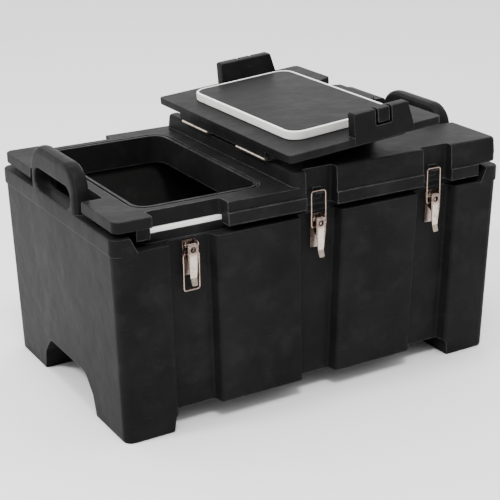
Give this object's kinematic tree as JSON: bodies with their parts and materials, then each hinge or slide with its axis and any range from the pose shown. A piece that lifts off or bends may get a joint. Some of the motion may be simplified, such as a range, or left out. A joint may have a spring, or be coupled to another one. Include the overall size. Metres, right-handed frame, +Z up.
{
  "type": "insulated food carrier",
  "caption": "Black top-loading insulated food carrier with a fixed half lid, a hinged half lid, moulded end handles and steel over-centre latches.",
  "frame": {"origin": "on the floor, under the middle of the carrier", "axes": "+Z up, +X along the carrier towards the closed half of its lid, front with the latches that the picture shows facing -Y"},
  "size_m": [0.677, 0.413, 0.4422],
  "materials": {
    "shell": "satin, lightly textured moulding",
    "foam": "foamed",
    "gasket": "matte",
    "steel": "satin"
  },
  "bodies": {
    "carrier": {"body_shell": "shell", "body_liner": "shell", "body_insulation": "foam", "foam_port_plug": "shell", "fixed_lid_shell": "shell", "fixed_lid_inner_panel": "shell", "fixed_lid_insulation": "foam", "fixed_lid_gasket": "gasket", "front_hinge_fixed_leaf": "steel", "front_hinge_pin": "steel", "front_left_latch_base": "steel", "front_left_latch_pin": "steel", "front_middle_latch_base": "steel", "front_middle_latch_pin": "steel", "front_middle_latch_keeper": "shell", "front_right_latch_base": "steel", "front_right_latch_pin": "steel", "front_right_latch_keeper": "shell", "back_hinge_fixed_leaf": "steel", "back_hinge_pin": "steel", "back_left_latch_base": "steel", "back_left_latch_pin": "steel", "back_middle_latch_base": "steel", "back_middle_latch_pin": "steel", "back_middle_latch_keeper": "shell", "back_right_latch_base": "steel", "back_right_latch_pin": "steel", "back_right_latch_keeper": "shell"},
    "half_lid": {"half_lid_shell": "shell", "half_lid_inner_skin": "shell", "half_lid_insulation": "foam", "half_lid_gasket": "gasket", "front_hinge_moving_leaf": "steel", "back_hinge_moving_leaf": "steel"},
    "front_left_lever": {"front_left_latch_lever": "steel"},
    "front_left_bail": {"front_left_latch_bail": "steel"},
    "front_middle_lever": {"front_middle_latch_lever": "steel"},
    "front_middle_bail": {"front_middle_latch_bail": "steel"},
    "front_right_lever": {"front_right_latch_lever": "steel"},
    "front_right_bail": {"front_right_latch_bail": "steel"},
    "back_left_lever": {"back_left_latch_lever": "steel"},
    "back_left_bail": {"back_left_latch_bail": "steel"},
    "back_middle_lever": {"back_middle_latch_lever": "steel"},
    "back_middle_bail": {"back_middle_latch_bail": "steel"},
    "back_right_lever": {"back_right_latch_lever": "steel"},
    "back_right_bail": {"back_right_latch_bail": "steel"}
  },
  "joints": [
    {"name": "half_lid_hinge", "type": "hinge", "parent": "carrier", "child": "half_lid", "pos_m": [-0.0515, 0, 0.364], "axis": [0, -1, 0], "range_deg": [0, 175.4]},
    {"name": "front_left_lever_hinge", "type": "hinge", "parent": "carrier", "child": "front_left_lever", "pos_m": [-0.214, -0.197, 0.283], "axis": [-1, 0, 0], "range_deg": [0, 120]},
    {"name": "front_left_bail_swing", "type": "hinge", "parent": "front_left_lever", "child": "front_left_bail", "pos_m": [-0.214, -0.196, 0.27], "axis": [-1, 0, 0], "range_deg": [0, 58]},
    {"name": "front_middle_lever_hinge", "type": "hinge", "parent": "carrier", "child": "front_middle_lever", "pos_m": [0, -0.197, 0.283], "axis": [-1, 0, 0], "range_deg": [0, 120]},
    {"name": "front_middle_bail_swing", "type": "hinge", "parent": "front_middle_lever", "child": "front_middle_bail", "pos_m": [0, -0.196, 0.27], "axis": [-1, 0, 0], "range_deg": [-120, 0]},
    {"name": "front_right_lever_hinge", "type": "hinge", "parent": "carrier", "child": "front_right_lever", "pos_m": [0.214, -0.197, 0.283], "axis": [-1, 0, 0], "range_deg": [0, 120]},
    {"name": "front_right_bail_swing", "type": "hinge", "parent": "front_right_lever", "child": "front_right_bail", "pos_m": [0.214, -0.196, 0.27], "axis": [-1, 0, 0], "range_deg": [-120, 0]},
    {"name": "back_left_lever_hinge", "type": "hinge", "parent": "carrier", "child": "back_left_lever", "pos_m": [-0.214, 0.197, 0.283], "axis": [1, 0, 0], "range_deg": [0, 120]},
    {"name": "back_left_bail_swing", "type": "hinge", "parent": "back_left_lever", "child": "back_left_bail", "pos_m": [-0.214, 0.196, 0.27], "axis": [1, 0, 0], "range_deg": [0, 58]},
    {"name": "back_middle_lever_hinge", "type": "hinge", "parent": "carrier", "child": "back_middle_lever", "pos_m": [0, 0.197, 0.283], "axis": [1, 0, 0], "range_deg": [0, 120]},
    {"name": "back_middle_bail_swing", "type": "hinge", "parent": "back_middle_lever", "child": "back_middle_bail", "pos_m": [0, 0.196, 0.27], "axis": [1, 0, 0], "range_deg": [-120, 0]},
    {"name": "back_right_lever_hinge", "type": "hinge", "parent": "carrier", "child": "back_right_lever", "pos_m": [0.214, 0.197, 0.283], "axis": [1, 0, 0], "range_deg": [0, 120]},
    {"name": "back_right_bail_swing", "type": "hinge", "parent": "back_right_lever", "child": "back_right_bail", "pos_m": [0.214, 0.196, 0.27], "axis": [1, 0, 0], "range_deg": [-120, 0]}
  ],
  "couplings": [
    {"joint": "front_middle_bail_swing", "follows": "front_middle_lever_hinge", "ratio": -1},
    {"joint": "front_right_bail_swing", "follows": "front_right_lever_hinge", "ratio": -1},
    {"joint": "back_middle_bail_swing", "follows": "back_middle_lever_hinge", "ratio": -1},
    {"joint": "back_right_bail_swing", "follows": "back_right_lever_hinge", "ratio": -1}
  ]
}
